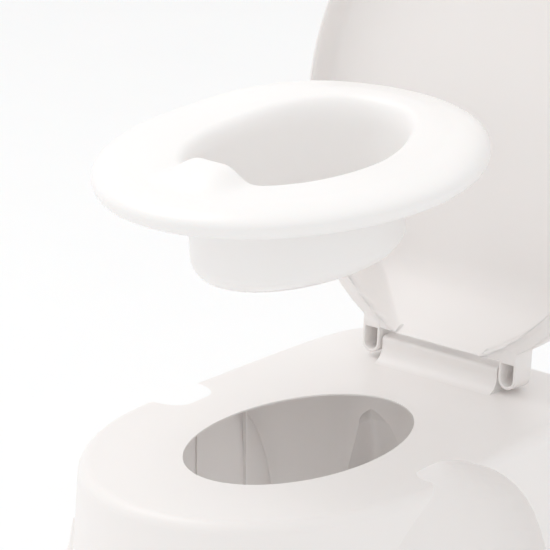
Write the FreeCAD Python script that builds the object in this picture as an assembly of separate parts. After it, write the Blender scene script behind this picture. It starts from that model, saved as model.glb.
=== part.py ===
"""Potty training chair: hollow base, hinged lid and lift-out potty insert.

Millimetres, +Z up, -Y is the front. The model is built around the seat point, which is on the floor
under the centre of the deck's opening. write_parts() then shifts everything along Y, so that the
origin is the centre of the bounding box's bottom face.
"""
import FreeCAD, Part
import math
import os

V = FreeCAD.Vector
X_AXIS = V(1, 0, 0)
SIDES = {"left": -1, "right": 1}

# Base: a hollow moulding with a flat deck, a flared skirt and four hollow corner legs
DECK_Z = 215.0              # seat deck above the floor
WALL = 3.0                  # thickness of the base's moulding
DECK_HALF = 131.0           # half width of the deck at its widest
DECK_MID_Y = -15.0          # where the deck is widest
DECK_FRONT = 157.0          # from the widest line to the front
DECK_BACK = 231.0           # from the widest line to the back
DECK_TAPER = 0.11           # share of the width lost towards the back
TAPER_EASE = 30.0           # length over which that taper starts
BACK_SQUARENESS = 9.0       # superellipse power of the back half
SKIRT_FLARE = 14.0          # how far the skirt spreads by the time it reaches the floor
DECK_ROUND = 9.0            # radius of the deck's outer edge
OPENING_HALF = 65.0         # half width of the deck's opening
OPENING_LONG = 98.5         # half length of the deck's opening
OPENING_EDGE = 1.2          # thickness of the deck at the opening's edge
OPENING_THIN = 8.0          # how far the hollow under that edge widens below the deck

# Finger recesses: a notch at the deck that widens down each side
RECESS_Y = 15.0             # middle of the notch
RECESS_FLOOR_X = 101.0      # distance from the middle plane to the recess's floor
RECESS_HALF_TOP = 25.0      # half length of the notch at the deck
RECESS_SPREAD = 85.0        # how much it widens on its way down
RECESS_EASE = 42.0          # depth over which most of that happens
RECESS_STEPS = 14
RECESS_REACH = 60.0         # how far the recess's cutter reaches outwards
RECESS_SQUARENESS = 4.0
RIB_SPOTS = (7.0, 61.0)     # two upright ribs inside each recess wall, along Y
RIB_THICK = 1.6
RIB_DEEP = 1.5
RIB_TOP, RIB_BOTTOM = -3.5, -150.0

# Legs: each flares out of a corner, starting well below the deck
LEG_TOP = 48.0              # below the deck
LEG_SIZE = 80.0             # side of its section at the floor
LEG_OUT = 30.0              # how far that section stands out of the corner
LEG_GROWTH = 0.55           # power by which the section grows on its way down
LEG_SQUARENESS = 4.5
LEG_STEPS = 9
LEG_CORNERS = {"front": (95.0, -110.0), "back": (100.0, 208.0)}
ARCH_HEIGHT = 58.0          # of the arches between the legs
SIDE_ARCH = (22.0, 86.0)    # centre and half length, along Y
END_ARCH_HALF = 58.0        # half length of the front and back arches
SOLE_THICK = 3.0            # floor of each leg

# Rubber feet, plugged into the soles
FOOT_TALL = 3.0
FOOT_R = 12.0
FOOT_PLUG_R = 4.0
FOOT_PLUG_TALL = 7.0
FOOT_LIP_R = 5.2
FOOT_LIP_TALL = 2.0
FOOT_SPOTS = {"front": (99.0, -114.0), "back": (104.0, 212.0)}

# Hinge: a raised pad on the deck, two pins, and the lid's two ears
HINGE_Y = 166.0
HINGE_UP = 11.0             # hinge axis above the deck
PAD_HALF = 51.0
PAD_NOSE = 8.5              # the pad's front, ahead of the hinge axis
PAD_UP = 18.0               # the pad's top, above the deck
PAD_R = 3.0                 # rounding between the pad's front and top
PAD_FOOT = 12.0             # hollow rounding between the deck and the pad's front
PAD_TAIL = 26.0             # how far the pad slopes back behind the axis
PIN_R = 3.0
PIN_FROM, PIN_TO = 40.0, 55.4
PIN_FIT = 0.05              # radial clearance in the lid's ears
EAR_X = 60.5
EAR_HALF = 7.5
EAR_WALL = 2.2
EAR_FRONT = -10.0           # the ear's open side, from the hinge axis
EAR_R = 10.5                # the ear's back, about the hinge axis
EAR_RUN = 30.0              # how far the ear runs into the lid

# Lid: a shallow dish, described shut, with its own origin on the hinge axis
LID_HALF = 138.0
LID_MID = 150.0             # from the hinge axis to the widest line
LID_TIP = 195.0             # from there to the tip
LID_HEEL = 150.0            # half length of the ellipse towards the hinge
LID_END = 12.0              # the lid's end wall, from the hinge axis
LID_END_SLOPE = 36.0        # degrees that the end wall leans away from the hinge
LID_WALL = 2.8
LID_SKIRT_Z = -26.0         # where the uncut rim starts
LID_EDGE_Z = -4.0           # where the dish starts to round over
LID_RISE = 30.0             # from there to the crown
LID_SPREAD = 90.0           # from the edge to where the crown is flat
LID_SQUARENESS = 3.3
DISH_TILT = 1.2             # degrees: the dish is deeper at the hinge
RIM_LOW, RIM_HIGH = -10.0, 0.5
RIM_BEND_FROM, RIM_BEND_TO = 50.0, 165.0
OPEN_ANGLE = 95.0           # from shut to the rest pose

# Insert: seat ring, splash guard and bowl in one moulding
RING_HALF = 124.0
RING_MID_Y = -6.0
RING_FRONT, RING_BACK = 156.0, 149.0
RING_TALL = 19.0
RING_EDGE_Z = 8.0           # height of the ring's widest line
RING_UNDERCUT = 5.0         # how far the edge tucks in below it
RING_SPREAD = 27.0          # from the edge to where the top is flat
RING_WALL = 2.8
MOUTH_HALF, MOUTH_FRONT, MOUTH_BACK = 60.0, 93.0, 90.0
MOUTH_EDGE_Z = 4.0          # where the mouth starts to open out
MOUTH_SPREAD = 11.0         # how much it has opened at the ring's top
BOWL_DEEP = 62.0
BOWL_DRAFT = 3.0            # how much narrower the bowl is at its bottom
BOWL_ROUND = 15.0
BOWL_WALL = 2.8
GUARD_Y = -110.0            # centre of the splash guard's dome
GUARD_HALF, GUARD_LONG, GUARD_TALL = 31.0, 40.0, 13.0
SEAT_GAP = 0.4              # between the ring and the deck
REST_LIFT = 197.0           # how far the insert is lifted out in the rest pose


def spline_loop(points):
    """A closed smooth wire through the points."""
    curve = Part.BSplineCurve()
    curve.interpolate(points, PeriodicFlag=True)
    return Part.Wire(curve.toShape())


def stacked_solid(wires):
    """A solid through closed wires, one above the other."""
    return Part.makeLoft(wires, True, True)


def quarter(z, rise, spread, power=2.0, steps=7):
    """A quarter of a superellipse, as (height, how far in) pairs from its edge to its top."""
    turns = [math.pi / 2 * step / steps for step in range(steps + 1)]
    return [(z + rise * math.sin(t) ** (2 / power), spread * (1 - math.cos(t) ** (2 / power))) for t in turns]


def egg(half, front, back, mid_y, z, grow=0.0, count=36):
    """An egg: two half ellipses that share their widest line."""
    points = []
    for step in range(count):
        turn = 2 * math.pi * step / count
        length = back if math.cos(turn) > 0 else front
        points.append(V((half + grow) * math.sin(turn), mid_y + (length + grow) * math.cos(turn), z))
    return spline_loop(points)


def superellipse(half_x, half_y, centre, z, power, count=40):
    """A rounded rectangle by the superellipse formula, with its points spread by angle."""
    points = []
    for step in range(count):
        turn = 2 * math.pi * (step + 0.5) / count
        c, s = abs(math.cos(turn)) / half_x, abs(math.sin(turn)) / half_y
        radius = (c ** power + s ** power) ** (-1 / power)
        points.append(V(centre[0] + radius * math.cos(turn), centre[1] + radius * math.sin(turn), z))
    return spline_loop(points)


def deck_outline(z, grow=0.0, count=72):
    """The deck's outline: half an ellipse in front, then straight sides that taper to a squarer back."""
    points = []
    half = DECK_HALF + grow
    for step in range(count):
        turn = 2 * math.pi * (step + 0.5) / count
        is_back = math.sin(turn) > 0
        length = (DECK_BACK if is_back else DECK_FRONT) + grow
        power = BACK_SQUARENESS if is_back else 2.0
        c, s = abs(math.cos(turn)) / half, abs(math.sin(turn)) / length
        radius = (c ** power + s ** power) ** (-1 / power)
        x, y = radius * math.cos(turn), radius * math.sin(turn)
        if is_back:
            x *= 1 - DECK_TAPER * (math.hypot(y, TAPER_EASE) - TAPER_EASE) / DECK_BACK
        points.append(V(x, DECK_MID_Y + y, z))
    return spline_loop(points)


def mirrored(shape):
    return shape.mirror(V(0, 0, 0), X_AXIS)


def both_sides(shape):
    return [shape, mirrored(shape)]


def top_edges(shape, z):
    return [e for e in shape.Edges if abs(e.BoundBox.ZMin - z) < 0.01 and abs(e.BoundBox.ZMax - z) < 0.01]


def skirt_volume(inset):
    """The base's outer volume without its legs, or with an inset the hollow inside it."""
    top = DECK_Z - inset
    bottom = FOOT_TALL - inset
    body = stacked_solid([deck_outline(bottom, SKIRT_FLARE - inset), deck_outline(top, -inset)])
    return body.makeFillet(DECK_ROUND - inset, top_edges(body, top))


def leg_volume(corner, inset):
    """One leg: a flare that grows out of its corner of the skirt."""
    sections = []
    top, bottom = DECK_Z - LEG_TOP - 4 * inset, FOOT_TALL - inset
    for step in range(LEG_STEPS + 1):
        share = step / LEG_STEPS
        size = LEG_SIZE * share ** LEG_GROWTH
        half = max(size / 2 - inset, 0.0) + 1.0
        reach = LEG_OUT * share - size / 2 + 8.0
        centre = (corner[0] + reach, corner[1] + math.copysign(reach, corner[1]))
        sections.append(superellipse(half, half, centre, top + (bottom - top) * share, LEG_SQUARENESS))
    return stacked_solid(sections)


def recess_volume(grow):
    """The finger recess on the right side, grown by the wall for the hollow inside."""
    centre = (RECESS_FLOOR_X + RECESS_REACH, RECESS_Y)
    levels = [(-6.0, RECESS_HALF_TOP)]
    for step in range(RECESS_STEPS + 1):
        down = (DECK_Z - 1) * (step / RECESS_STEPS) ** 2
        levels.append((down, RECESS_HALF_TOP + RECESS_SPREAD * (1 - math.exp(-down / RECESS_EASE))))
    reach = RECESS_REACH + grow
    return stacked_solid([superellipse(reach, half + grow, centre, DECK_Z - down, RECESS_SQUARENESS)
                          for down, half in levels])


def arch_volumes():
    """The arches between the legs, as cutters: one through both sides and one from front to back."""
    centre, half = SIDE_ARCH
    cutters = []
    for long_way, middle, across in ((half, centre, X_AXIS), (END_ARCH_HALF, 0.0, V(0, 1, 0))):
        if across == X_AXIS:
            side = [V(-250, middle + long_way * a, z) for a, z in arch_points()]
        else:
            side = [V(middle + long_way * a, -300, z) for a, z in arch_points()]
        curve = Part.BSplineCurve()
        curve.interpolate(side)
        closing = Part.LineSegment(side[-1], side[0]).toShape()
        face = Part.Face(Part.Wire([curve.toShape(), closing]))
        cutters.append(face.extrude(across * 600))
    return cutters


def arch_points(count=10):
    """An arch from -1 to 1, as shares of its half length, with its height above the floor."""
    turns = [math.pi * step / count for step in range(count + 1)]
    return [(-math.cos(t), ARCH_HEIGHT * math.sin(t) ** 0.8 - 2.0) for t in turns]


def hinge_pad():
    """The raised pad between the lid's ears: a rounded block that slopes down behind the hinge axis."""
    front, top = HINGE_Y - PAD_NOSE, DECK_Z + PAD_UP

    def at(y, z):
        return V(-PAD_HALF, y, z)

    def bend(start, end, centre):
        """A quarter round from start to end."""
        chord = (start + end) / 2
        return Part.Arc(start, centre + (chord - centre) * math.sqrt(2), end).toShape()

    foot_z = DECK_Z - 0.25
    foot_front, foot_top = at(front - PAD_FOOT, foot_z), at(front, foot_z + PAD_FOOT)
    nose_low, nose_top = at(front, top - PAD_R), at(front + PAD_R, top)
    crown, heel = at(HINGE_Y + 2, top), at(HINGE_Y + PAD_TAIL, DECK_Z)
    low_heel, low_foot = at(HINGE_Y + PAD_TAIL, DECK_Z - WALL / 2), at(front - PAD_FOOT, DECK_Z - WALL / 2)
    edges = [
        bend(foot_front, foot_top, at(front - PAD_FOOT, foot_z + PAD_FOOT)),
        Part.LineSegment(foot_top, nose_low).toShape(),
        bend(nose_low, nose_top, at(front + PAD_R, top - PAD_R)),
        Part.LineSegment(nose_top, crown).toShape(),
        Part.LineSegment(crown, heel).toShape(),
        Part.LineSegment(heel, low_heel).toShape(),
        Part.LineSegment(low_heel, low_foot).toShape(),
        Part.LineSegment(low_foot, foot_front).toShape(),
    ]
    return Part.Face(Part.Wire(edges)).extrude(V(2 * PAD_HALF, 0, 0))


def base_shell():
    """The base moulding: outside less hollow, with its arches, pad, soles, opening, holes and ribs."""
    outer, inner = skirt_volume(0.0), skirt_volume(WALL)
    legs_out, legs_in = [], []
    for corner in LEG_CORNERS.values():
        legs_out += both_sides(leg_volume(corner, 0.0))
        legs_in += both_sides(leg_volume(corner, WALL))
    outer = outer.fuse(legs_out).cut(both_sides(recess_volume(0.0)))
    inner = inner.fuse(legs_in).cut(both_sides(recess_volume(WALL)))
    shell = outer.cut(inner)
    slab = Part.makeBox(600, 600, SOLE_THICK, V(-300, -300, FOOT_TALL))
    soles = [leg.common(slab) for leg in legs_out]
    shell = shell.cut(arch_volumes()).fuse([hinge_pad()] + soles)
    opening = [superellipse(OPENING_HALF, OPENING_LONG, (0, 0), z, 2.0) for z in (DECK_Z - 30, DECK_Z + 2)]
    thinning = [superellipse(OPENING_HALF + grow, OPENING_LONG + grow, (0, 0), DECK_Z - down, 2.0)
                for down, grow in ((WALL + 1, OPENING_THIN), (OPENING_EDGE, 0.0))]
    shell = shell.cut([stacked_solid(opening), stacked_solid(thinning)])
    pin_hole = Part.makeCylinder(PIN_R, PIN_TO, V(PIN_FROM, HINGE_Y, DECK_Z + HINGE_UP), X_AXIS)
    cutters = both_sides(pin_hole)
    for spot in FOOT_SPOTS.values():
        cutters += both_sides(Part.makeCylinder(FOOT_PLUG_R, 20, V(spot[0], spot[1], FOOT_TALL - 5)))
    rib_x = RECESS_FLOOR_X - WALL - RIB_DEEP
    ribs = []
    for rib_y in RIB_SPOTS:
        ribs += both_sides(Part.makeBox(RIB_DEEP + 1, RIB_THICK, RIB_TOP - RIB_BOTTOM,
                                        V(rib_x, rib_y - RIB_THICK / 2, DECK_Z + RIB_BOTTOM)))
    return shell.cut(cutters).fuse(ribs).removeSplitter()


def hinge_pin(side):
    start = V(side * PIN_FROM, HINGE_Y, DECK_Z + HINGE_UP)
    pin = Part.makeCylinder(PIN_R, PIN_TO - PIN_FROM, start, X_AXIS * side)
    return pin.makeChamfer(0.6, [e for e in pin.Edges if e.BoundBox.XLength < 0.01])


def foot(end, side):
    """A rubber foot: a pad under the sole, and a plug with a lip that holds it in."""
    x, y = FOOT_SPOTS[end]
    spot = V(side * x, y, 0)
    pad = Part.makeCylinder(FOOT_R, FOOT_TALL, spot)
    pad = pad.makeFillet(1.0, [e for e in pad.Edges if e.BoundBox.ZMax < 0.01])
    plug = Part.makeCylinder(FOOT_PLUG_R, FOOT_PLUG_TALL, spot + V(0, 0, FOOT_TALL - 0.5))
    lip_z = FOOT_TALL + SOLE_THICK
    lip = Part.makeCone(FOOT_LIP_R, FOOT_PLUG_R - 1, FOOT_LIP_TALL, spot + V(0, 0, lip_z))
    return pad.fuse([plug, lip])


def lid_outline(z, inset):
    return egg(LID_HALF, LID_TIP, LID_HEEL, -LID_MID, z, -inset)


def lid_volume(inset):
    """The lid's outer volume, shut, or with an inset the hollow inside it."""
    levels = [(LID_SKIRT_Z, 0.0)] + quarter(LID_EDGE_Z, LID_RISE, LID_SPREAD, LID_SQUARENESS, 10)
    dish = stacked_solid([lid_outline(z - inset, shrink + inset) for z, shrink in levels])
    dish.rotate(V(0, -LID_MID - LID_TIP, 0), X_AXIS, DISH_TILT)
    slope = math.radians(LID_END_SLOPE)
    kept = Part.makeBox(400, 500, 400, V(-200, -500, -200))
    kept.rotate(V(0, 0, 0), X_AXIS, LID_END_SLOPE)
    kept.translate(V(0, -LID_END - inset * math.cos(slope), RIM_LOW - inset * math.sin(slope)))
    return dish.common(kept)


def rim_cutter():
    """What the rim stands clear of: the rim runs low by the hinge and rises towards the middle."""
    reach = LID_MID + LID_TIP + 20
    low_end = V(-200, 30, RIM_LOW)
    bend_from = V(-200, -RIM_BEND_FROM, RIM_LOW)
    bend_to = V(-200, -RIM_BEND_TO, RIM_HIGH)
    tip = V(-200, -reach, RIM_HIGH)
    middle = (RIM_BEND_FROM + RIM_BEND_TO) / 2
    poles = [bend_from, V(-200, -middle, RIM_LOW), V(-200, -middle, RIM_HIGH), bend_to]
    bend = Part.BezierCurve()
    bend.setPoles(poles)
    below_tip, below_end = V(-200, -reach, -60), V(-200, 30, -60)
    edges = [
        Part.LineSegment(low_end, bend_from).toShape(),
        bend.toShape(),
        Part.LineSegment(bend_to, tip).toShape(),
        Part.LineSegment(tip, below_tip).toShape(),
        Part.LineSegment(below_tip, below_end).toShape(),
        Part.LineSegment(below_end, low_end).toShape(),
    ]
    return Part.Face(Part.Wire(edges)).extrude(V(400, 0, 0))


def ear_volume(half, run, low, high):
    """A U in plan: a half round about the hinge axis, with straight sides that run into the lid."""
    a, b = V(EAR_X - half, -run, low), V(EAR_X + half, -run, low)
    c, d = V(EAR_X + half, 0, low), V(EAR_X - half, 0, low)
    edges = [
        Part.LineSegment(a, b).toShape(),
        Part.LineSegment(b, c).toShape(),
        Part.Arc(c, V(EAR_X, half, low), d).toShape(),
        Part.LineSegment(d, a).toShape(),
    ]
    return Part.Face(Part.Wire(edges)).extrude(V(0, 0, high - low))


def lid_shut():
    """The lid with its origin on the hinge axis, in its shut position."""
    outer, inner = lid_volume(0.0), lid_volume(LID_WALL)
    barrel = Part.makeCylinder(EAR_R, 400, V(-200, 0, 0), X_AXIS)
    heel = barrel.fuse(Part.makeBox(400, 60, 60, V(-200, -60, -60)))
    ears = [e.common(heel) for e in both_sides(ear_volume(EAR_HALF, EAR_RUN, EAR_FRONT, EAR_R))]
    pocket = ear_volume(EAR_HALF - EAR_WALL, LID_END - EAR_WALL / 2, EAR_FRONT - 10, EAR_R - 2 * EAR_WALL)
    pockets = both_sides(pocket)
    shell = outer.cut(inner).fuse(ears).cut(pockets).cut(rim_cutter())
    bore = Part.makeCylinder(PIN_R + PIN_FIT, EAR_HALF, V(EAR_X - EAR_HALF - 1, 0, 0), X_AXIS)
    return shell.cut(both_sides(bore)).removeSplitter()


def lid_shell():
    lid = lid_shut()
    lid.rotate(V(0, 0, 0), X_AXIS, -OPEN_ANGLE)
    lid.translate(V(0, HINGE_Y, DECK_Z + HINGE_UP))
    return lid


def ring_volume(inset):
    tuck = quarter(RING_EDGE_Z, RING_EDGE_Z, RING_UNDERCUT, 2.0, 4)
    below = [(2 * RING_EDGE_Z - z, shrink) for z, shrink in tuck]
    levels = below[:0:-1] + quarter(RING_EDGE_Z, RING_TALL - RING_EDGE_Z, RING_SPREAD)
    return stacked_solid([egg(RING_HALF, RING_FRONT, RING_BACK, RING_MID_Y, z - inset, -shrink - inset)
                          for z, shrink in levels])


def mouth(z, grow):
    return egg(MOUTH_HALF, MOUTH_FRONT, MOUTH_BACK, 0.0, z, grow)


def bowl_volume(wall):
    """The bowl's hollow, with wall 0, or its outside, with the wall's thickness."""
    flare = quarter(MOUTH_EDGE_Z, RING_TALL - MOUTH_EDGE_Z, MOUTH_SPREAD)[::-1]
    if wall:
        flare = [(z, grow) for z, grow in flare if z < RING_TALL - wall / 4]
    else:
        flare.insert(0, (RING_TALL + GUARD_TALL + 6.0, MOUTH_SPREAD + 2.0))
    bottom = [(-BOWL_DEEP + BOWL_ROUND - z - wall, -BOWL_DRAFT - shrink) for z, shrink
              in quarter(0.0, BOWL_ROUND, BOWL_ROUND, 2.0, 4)]
    return stacked_solid([mouth(z, grow + wall) for z, grow in flare + bottom])


def splash_guard():
    """The dome at the front of the mouth."""
    stretch = FreeCAD.Matrix()
    stretch.scale(GUARD_HALF, GUARD_LONG, GUARD_TALL + 8.0)
    ball = Part.makeSphere(1.0)
    ball.rotate(V(0, 0, 0), V(0, 1, 0), 90)
    dome = ball.transformGeometry(stretch)
    dome.translate(V(0, GUARD_Y, RING_TALL - 8.0))
    return dome.common(Part.makeBox(200, 200, 60, V(-100, GUARD_Y - 100, RING_TALL - 7.0)))


def potty_insert():
    underside = ring_volume(RING_WALL).cut(bowl_volume(BOWL_WALL))
    solid = ring_volume(0.0).fuse([bowl_volume(BOWL_WALL), splash_guard()])
    insert = solid.cut(underside).cut(bowl_volume(0.0)).removeSplitter()
    insert.translate(V(0, 0, DECK_Z + SEAT_GAP + REST_LIFT))
    return insert


def all_parts():
    parts = {"base_shell": base_shell(), "lid_shell": lid_shell(), "potty_insert": potty_insert()}
    for side_name, side in SIDES.items():
        parts["hinge_pin_" + side_name] = hinge_pin(side)
        for end in FOOT_SPOTS:
            parts["foot_" + end + "_" + side_name] = foot(end, side)
    return parts


def write_parts():
    os.makedirs("parts", exist_ok=True)
    parts = all_parts()
    box = Part.makeCompound(list(parts.values())).optimalBoundingBox(False, False)
    shift = V(0, -(box.YMin + box.YMax) / 2, 0)
    for name, shape in parts.items():
        shape.translate(shift)
        shape.exportStep("parts/" + name + ".step")
        print(name, "solids", len(shape.Solids), "valid", shape.isValid(), "cm3", round(shape.Volume / 1000, 1))
    print("box", box, "shift", shift)


if __name__ == "__main__":
    write_parts()
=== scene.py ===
import math
import bmesh
import bpy
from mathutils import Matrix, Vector


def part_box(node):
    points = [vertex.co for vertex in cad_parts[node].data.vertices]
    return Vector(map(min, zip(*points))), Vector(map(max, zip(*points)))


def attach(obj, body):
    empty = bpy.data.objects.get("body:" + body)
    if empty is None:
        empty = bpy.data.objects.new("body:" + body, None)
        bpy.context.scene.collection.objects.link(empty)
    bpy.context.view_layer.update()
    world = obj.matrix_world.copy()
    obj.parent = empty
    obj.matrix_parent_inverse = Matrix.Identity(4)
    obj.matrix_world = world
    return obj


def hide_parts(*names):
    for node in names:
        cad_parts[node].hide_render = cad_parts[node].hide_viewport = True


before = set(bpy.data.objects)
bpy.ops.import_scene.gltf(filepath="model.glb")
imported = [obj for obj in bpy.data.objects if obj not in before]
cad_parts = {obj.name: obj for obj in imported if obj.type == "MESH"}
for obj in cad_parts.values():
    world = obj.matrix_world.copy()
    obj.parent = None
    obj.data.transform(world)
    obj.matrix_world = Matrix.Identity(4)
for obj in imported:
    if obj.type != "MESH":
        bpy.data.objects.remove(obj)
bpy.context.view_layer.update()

# The camera looks at a point above the deck's opening, from the front right
AZIMUTH, ELEVATION = math.radians(39), math.radians(20)
FIELD = 0.3793              # width that the picture shows at the aim point
LENS_MM, SENSOR_MM = 500, 36
AIM_UP = 0.1128             # aim point above the deck's opening, in the picture
AIM_RIGHT = 0.0166

SKY = 0.9                   # strength of the even white sky
KEY, UNDER = 13.5, 0.1      # power of the light above, and of the faint one inside the base
FLOOR_HALF = 12.0

# Insert, in mm from the plane that it rests on: seat ring, mouth, bowl and splash guard
RING = (124, 156, 149, -6)  # half width, front, back, and where it is widest
MOUTH = (60, 93, 90, 0)
POINT = (1, 1, 1, 0)        # an outline too small to see, which closes a surface
RING_TALL, RING_EDGE, RING_SPREAD, RING_TUCK = 19, 8, 27, 5
MOUTH_EDGE, MOUTH_SPREAD = 4, 11
BOWL_DEEP, BOWL_DRAFT, BOWL_ROUND = 62, 3, 15
WALL = 2.8
CROWN = 0.8                 # how much the ring's top bulges
GUARD_TALL, GUARD_HALF, GUARD_OVER = 12, 25, 9  # GUARD_OVER is how far it leans over the mouth
BACK_RISE = 5               # how much higher the ring's top is towards its back
TURNS = 200                 # points round each outline

# Lid, in mm from the hinge axis, described shut: x across, v away from the hinge, z up
LID = (138, 195, 150)       # half width, and from its widest line to the tip and to the hinge
LID_MID = 150
LID_EDGE, LID_RISE, LID_SPREAD, LID_POWER = -4, 30, 90, 3.3
LID_TILT = math.tan(math.radians(1.2))
LID_WALL = 2.8
LID_MIDDLE_STEPS = (11, 22, 33, 44)  # rows beyond LID_SPREAD, on the crown
LID_END, LID_SLOPE = 12, math.tan(math.radians(36))
END_BLEND = 24              # how softly the dish runs into its sloping end
RIM_LOW, RIM_HIGH, RIM_FROM, RIM_TO = -10, 0.5, 50, 165
FLANGE_WIDE, FLANGE_NARROW, FLANGE_FROM, FLANGE_TO = 16, 1.5, 20, 130
RIDGE, RIDGE_WIDTH = 2.4, 2.2  # rolled edge along the inside of the flange
FLANGE_STEP = 7             # width over which the inside drops away from the flange
DEEPEN_OVER = 50            # from the hinge end, where the inside is flush, to its full depth
OPEN_ANGLE = math.radians(95)
EAR_X, EAR_HALF, EAR_WALL, EAR_TOP = 60.5, 7.5, 2.2, 21
EAR_BACK = 10.5             # the ear's back face, behind the hinge axis
POCKET_TOP = 11

# Places in the shared frame, in metres
DECK_Z = 0.215
HINGE_BACK, HINGE_Z = 0.166, 0.226  # the hinge axis, behind the opening's centre and above the floor


def place_camera(opening_y):
    """A long lens at the viewing angle, far enough back to show FIELD, for an almost parallel view."""
    data = bpy.data.cameras.new("camera")
    data.lens, data.sensor_width = LENS_MM, SENSOR_MM
    camera = bpy.data.objects.new("camera", data)
    bpy.context.collection.objects.link(camera)
    towards = Vector((
        -math.sin(AZIMUTH) * math.cos(ELEVATION),
        math.cos(AZIMUTH) * math.cos(ELEVATION),
        -math.sin(ELEVATION),
    ))
    right = Vector((math.cos(AZIMUTH), math.sin(AZIMUTH), 0))
    up = right.cross(towards)
    aim = Vector((0, opening_y, DECK_Z)) - AIM_RIGHT * right + AIM_UP * up
    distance = FIELD * LENS_MM / SENSOR_MM
    camera.location = aim - towards * distance
    camera.rotation_euler = towards.to_track_quat("-Z", "Y").to_euler()
    bpy.context.scene.camera = camera


def plastic(name, color, roughness, grain=0.08):
    """Moulded plastic: a slight mottle in colour and gloss, and a fine surface texture."""
    material = bpy.data.materials.new(name)
    material.use_nodes = True
    nodes, links = material.node_tree.nodes, material.node_tree.links
    shader = nodes["Principled BSDF"]
    place = nodes.new("ShaderNodeTexCoord")
    mottle = nodes.new("ShaderNodeTexNoise")
    mottle.inputs["Scale"].default_value = 9
    mottle.inputs["Detail"].default_value = 3
    links.new(place.outputs["Object"], mottle.inputs["Vector"])
    tint = nodes.new("ShaderNodeValToRGB")
    tint.color_ramp.elements[0].color = (*[c * 0.975 for c in color], 1)
    tint.color_ramp.elements[1].color = (*color, 1)
    links.new(mottle.outputs["Fac"], tint.inputs["Fac"])
    links.new(tint.outputs["Color"], shader.inputs["Base Color"])
    gloss = nodes.new("ShaderNodeMapRange")
    gloss.inputs["To Min"].default_value = roughness - 0.03
    gloss.inputs["To Max"].default_value = roughness + 0.03
    links.new(mottle.outputs["Fac"], gloss.inputs["Value"])
    links.new(gloss.outputs["Result"], shader.inputs["Roughness"])
    texture = nodes.new("ShaderNodeTexNoise")
    texture.inputs["Scale"].default_value = 900
    texture.inputs["Detail"].default_value = 2
    links.new(place.outputs["Object"], texture.inputs["Vector"])
    bump = nodes.new("ShaderNodeBump")
    bump.inputs["Strength"].default_value = grain
    bump.inputs["Distance"].default_value = 0.0001
    links.new(texture.outputs["Fac"], bump.inputs["Height"])
    links.new(bump.outputs["Normal"], shader.inputs["Normal"])
    shader.inputs["IOR"].default_value = 1.49
    shader.inputs["Subsurface Weight"].default_value = 0.12
    shader.inputs["Subsurface Radius"].default_value = (0.004, 0.003, 0.0025)
    return material


def grown(outline, by):
    """An outline's three lengths, all longer by the same amount."""
    return (outline[0] + by, outline[1] + by, outline[2] + by, outline[3])


def between(a, b, share):
    return tuple(p + (q - p) * share for p, q in zip(a, b))


def quarter(steps):
    """Sine and cosine pairs from 0 to 90 degrees."""
    turns = [math.pi / 2 * step / steps for step in range(steps + 1)]
    return [(math.sin(t), math.cos(t)) for t in turns]


def insert_rows():
    """Rows of (outline, height, share of the splash guard).

    They start in the middle of the bowl's floor, climb its inside, cross the ring's top, turn under the
    ring's edge and follow the underside to the bowl's outside.
    """
    mouth_top, ring_top = grown(MOUTH, MOUTH_SPREAD), grown(RING, -RING_SPREAD)
    floor, wall_foot = -BOWL_DEEP, BOWL_ROUND - BOWL_DEEP
    under_ring = -RING_TUCK - WALL
    narrow = grown(MOUTH, -BOWL_DRAFT - BOWL_ROUND)

    def bowl_corner(wall, s, c):
        outline = grown(MOUTH, wall - BOWL_DRAFT - BOWL_ROUND * (1 - s))
        return outline, floor - wall + BOWL_ROUND * (1 - c), 0

    rows = [(between(POINT, narrow, share), floor, 0) for share in (0, 0.5, 0.9, 1)]
    rows += [bowl_corner(0, s, c) for s, c in quarter(7)[1:]]
    for share in (0.3, 0.6, 0.9, 1):
        z = wall_foot + (MOUTH_EDGE - wall_foot) * share
        rows.append((grown(MOUTH, -BOWL_DRAFT * (1 - share)), z, 0))
    for s, c in quarter(12)[1:]:
        z = MOUTH_EDGE + (RING_TALL - MOUTH_EDGE) * s
        rows.append((grown(MOUTH, MOUTH_SPREAD * (1 - c)), z, s ** 3))
    for step in range(1, 20):
        share = step / 20
        z = RING_TALL + CROWN * math.sin(math.pi * share)
        guard = math.cos(math.pi / 2 * share) ** 1.5
        rows.append((between(mouth_top, ring_top, share), z, guard))
    for s, c in quarter(14)[::-1]:
        z = RING_EDGE + (RING_TALL - RING_EDGE) * s
        rows.append((grown(RING, -RING_SPREAD * (1 - c)), z, 0))
    rows += [(grown(RING, -RING_TUCK * (1 - c)), RING_EDGE * (1 - s), 0) for s, c in quarter(5)[1:]]
    rows.append((grown(RING, under_ring), 0, 0))
    for s, c in quarter(6):
        rows.append((grown(RING, under_ring - RING_SPREAD * (1 - c)), (RING_TALL - WALL) * s, 0))
    for extra, z in ((3, RING_TALL - WALL), (0, RING_TALL - WALL - 3), (0, MOUTH_EDGE)):
        rows.append((grown(MOUTH, WALL + extra), z, 0))
    rows += [bowl_corner(WALL, s, c) for s, c in quarter(8)[::-1]]
    rows.append((POINT, floor - WALL, 0))
    return rows


def insert_mesh():
    """The seat insert as one smooth closed surface, with the splash guard raised out of it."""
    points = []
    rows = insert_rows()
    for (half, front, back, middle), z, guard in rows:
        for step in range(TURNS):
            turn = 2 * math.pi * step / TURNS
            x = half * math.sin(turn)
            is_front = math.cos(turn) < 0
            y = middle + (front if is_front else back) * math.cos(turn)
            swell = guard * math.exp(-(x / GUARD_HALF) ** 4) if is_front else 0
            rise = eased(y, 0, 90) * (1 - 0.6 * eased(y, 100, 150))
            lift = BACK_RISE * eased(z, MOUTH_EDGE, RING_TALL) * rise
            points.append((x, y + GUARD_OVER * swell, z + GUARD_TALL * swell + lift))
    return points, tube_faces(len(rows), TURNS)


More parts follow.
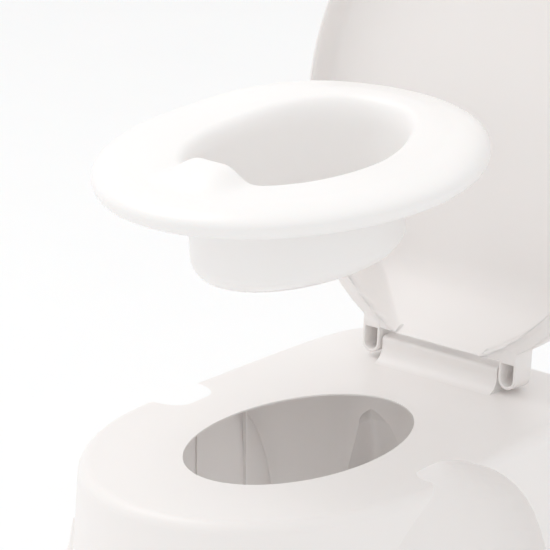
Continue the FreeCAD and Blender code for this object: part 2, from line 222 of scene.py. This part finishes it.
def eased(value, start, end):
    """0 before start, 1 after end, and a smooth step between them."""
    share = min(max((value - start) / (end - start), 0), 1)
    return share * share * (3 - 2 * share)


def soft_max(a, b, blend):
    """The larger of two values, rounded over where they are close."""
    return (a + b + math.hypot(a - b, blend)) / 2


def rim_height(v):
    """The rim runs low by the hinge and rises towards the lid's middle."""
    return RIM_LOW + (RIM_HIGH - RIM_LOW) * eased(v, RIM_FROM, RIM_TO)


def dish_height(shrink):
    """Height of the lid's outside, this far in from its outline."""
    share = max(1 - max(shrink, 0) / LID_SPREAD, 0)
    return LID_EDGE + LID_RISE * (1 - share ** LID_POWER) ** (1 / LID_POWER)


def lid_outside(x, v, shrink):
    """The lid's outside, kept clear of its sloping end."""
    z = dish_height(shrink) + (LID_MID + LID[1] - v) * LID_TILT
    end = LID_END + (z - RIM_LOW) * LID_SLOPE
    blend = 0.5 + END_BLEND * eased(shrink, 0, LID_SPREAD)
    return x, soft_max(v, end, blend), max(z, rim_height(v))


def lid_inside(x, v, shrink):
    """The lid's inside: a flange along the rim, a rolled ridge, and the dish, flush at the hinge end.

    By the hinge, the flange follows the lid's sides and not its end.
    """
    half, tip, heel = LID
    rim = rim_height(v)
    v = soft_max(v, LID_END, 1)
    along = (LID_MID - v) / (heel if v < LID_MID else tip)
    across = half * math.sqrt(max(1 - along ** 2, 0))
    near_hinge = 1 - eased(v, 20, 110)
    side = shrink + (max(across - abs(x), 0) - shrink) * near_hinge
    narrowing = eased(v, FLANGE_FROM, FLANGE_TO)
    flat = FLANGE_NARROW + (FLANGE_WIDE - FLANGE_NARROW) * (1 - narrowing)
    ridge = RIDGE * flat / FLANGE_WIDE * math.exp(-((side - flat) / RIDGE_WIDTH) ** 2)
    deep = dish_height(side) + (LID_MID + tip - v) * LID_TILT - LID_WALL
    deepening = math.sin(math.pi / 2 * min((v - LID_END) / DEEPEN_OVER, 1))
    drop = eased(side, flat, flat + FLANGE_STEP) ** 0.8
    return x, v, rim - ridge + max(deep - rim, 0) * drop * deepening


def lid_mesh():
    """The lid's shell as one smooth closed surface: its outside from the crown out, then its inside."""
    half, tip, heel = LID
    outside = [LID_SPREAD * (step / 30) ** 2 for step in range(31)]
    outside += [LID_SPREAD + step for step in LID_MIDDLE_STEPS]
    inside = [0, 0.6] + [1.5 * step for step in range(1, 21)] + [30 + 5 * step for step in range(1, 21)]
    rows = [(lid_outside, shrink) for shrink in outside[::-1]] + [(lid_inside, shrink) for shrink in inside]
    points = []
    for surface, shrink in rows:
        for step in range(TURNS):
            turn = 2 * math.pi * step / TURNS
            length = heel if math.cos(turn) < 0 else tip
            v = LID_MID + (length - shrink) * math.cos(turn)
            points.append(surface((half - shrink) * math.sin(turn), v, shrink))
    return points, tube_faces(len(rows), TURNS)


def ear_outline(inset, top):
    """A U about the hinge axis, closed at its top."""
    half, top = EAR_HALF - inset, top - inset
    turns = [math.pi * (step / 24 - 0.5) for step in range(25)]
    low = [(half * math.sin(turn), -half * math.cos(turn)) for turn in turns]
    return low + [(half, top * 0.5), (half, top), (-half, top), (-half, top * 0.5)]


def ear_mesh(side):
    """One hinge ear: a U-shaped block with a pocket that is open to the front."""
    front = RIM_LOW - 0.15
    block = (
        (6.5, EAR_BACK - 0.3), (3, EAR_BACK), (1, EAR_BACK - 1),
        (0, EAR_BACK - 3), (0, front + 0.5), (0.5, front),
    )
    pocket = (
        (EAR_WALL - 0.4, front), (EAR_WALL, front + 0.4), (EAR_WALL, 3.5),
        (EAR_WALL + 1, 6), (6.5, 6.2),
    )
    points = []
    for levels, top in ((block, EAR_TOP), (pocket, POCKET_TOP + EAR_WALL)):
        for inset, z in levels:
            points += [(side * (EAR_X + x), v, z) for x, v in ear_outline(inset, top)]
    return points, tube_faces(len(block) + len(pocket), len(ear_outline(0, EAR_TOP)))


def lid_opened(points):
    """Turns points about the hinge axis from the shut lid to the open one."""
    s, c = math.sin(OPEN_ANGLE), math.cos(OPEN_ANGLE)
    return [(x, -v * c + z * s, v * s + z * c) for x, v, z in points]


def tube_faces(rows, turns):
    """Quads between neighbouring rows, and a face at each end."""
    faces = []
    for row in range(rows - 1):
        for step in range(turns):
            a, b = row * turns + step, row * turns + (step + 1) % turns
            faces.append((a, b, b + turns, a + turns))
    first = list(range(turns))
    return faces + [first[::-1], [(rows - 1) * turns + step for step in first]]


def solid_object(name, points, faces, place):
    """A smooth object from points in mm, with its outside turned outwards."""
    mesh = bpy.data.meshes.new(name)
    mesh.from_pydata([tuple(c / 1000 for c in p) for p in points], [], faces)
    work = bmesh.new()
    work.from_mesh(mesh)
    bmesh.ops.recalc_face_normals(work, faces=work.faces)
    work.to_mesh(mesh)
    work.free()
    mesh.shade_smooth()
    made = bpy.data.objects.new(name, mesh)
    made.location = place
    bpy.context.collection.objects.link(made)
    return made


def dress(node, material):
    """Gives a carried-over CAD node its material."""
    piece = bpy.data.objects[node]
    for slot in piece.material_slots:
        slot.material = material


def area_light(name, place, target, size, power):
    data = bpy.data.lights.new(name, "AREA")
    data.shape, data.size, data.energy = "SQUARE", size, power
    light = bpy.data.objects.new(name, data)
    bpy.context.collection.objects.link(light)
    light.location = place
    light.rotation_euler = (Vector(target) - Vector(place)).to_track_quat("-Z", "Y").to_euler()
    return light


def studio():
    """A white floor, a bright even sky and soft lights, shown without tone mapping."""
    scene = bpy.context.scene
    scene.view_settings.view_transform = "Standard"
    world = bpy.data.worlds.new("studio")
    scene.world = world
    world.use_nodes = True
    world.node_tree.nodes["Background"].inputs["Color"].default_value = (1, 1, 1, 1)
    world.node_tree.nodes["Background"].inputs["Strength"].default_value = SKY
    corners = [(x * FLOOR_HALF, y * FLOOR_HALF, 0) for x, y in ((-1, -1), (1, -1), (1, 1), (-1, 1))]
    mesh = bpy.data.meshes.new("floor")
    mesh.from_pydata(corners, [], [(0, 1, 2, 3)])
    floor = bpy.data.objects.new("floor", mesh)
    bpy.context.collection.objects.link(floor)
    floor.data.materials.append(plastic("floor_paint", (0.95, 0.95, 0.95), 0.9, 0.0))
    target = (0, 0, 0.3)
    area_light("key", (-1.0, -0.45, 2.3), target, 1.6, KEY)
    area_light("under", (0, 0.02, 0.004), (0, 0.02, 1), 0.2, UNDER).visible_camera = False


insert_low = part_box("potty_insert")[0]
opening_y = insert_low[1] + (RING[1] - RING[3]) / 1000
place_camera(opening_y)
studio()
white = plastic("white_plastic", (0.90, 0.868, 0.85), 0.35)
insert_white = plastic("insert_plastic", (0.93, 0.912, 0.90), 0.3)
rubber = plastic("foot_rubber", (0.5, 0.49, 0.48), 0.7)
for node in ("base_shell", "hinge_pin_left", "hinge_pin_right"):
    dress(node, white)
for node in ("foot_front_left", "foot_front_right", "foot_back_left", "foot_back_right"):
    dress(node, rubber)

seat_z = insert_low[2] + (BOWL_DEEP + WALL) / 1000
insert = solid_object("seat_insert", *insert_mesh(), (0, opening_y, seat_z))
insert.data.materials.append(insert_white)
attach(insert, "insert")
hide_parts("potty_insert")

hinge = (0, opening_y + HINGE_BACK, HINGE_Z)
lid_points, lid_faces = lid_mesh()
lid = solid_object("lid_dish", lid_opened(lid_points), lid_faces, hinge)
lid.data.materials.append(white)
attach(lid, "lid")
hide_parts("lid_shell")
for name, side in (("left", -1), ("right", 1)):
    ear_points, ear_faces = ear_mesh(side)
    ear = solid_object("lid_ear_" + name, lid_opened(ear_points), ear_faces, hinge)
    ear.data.set_sharp_from_angle(angle=math.radians(50))
    ear.data.materials.append(white)
    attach(ear, "lid")
    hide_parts("lid_shell")
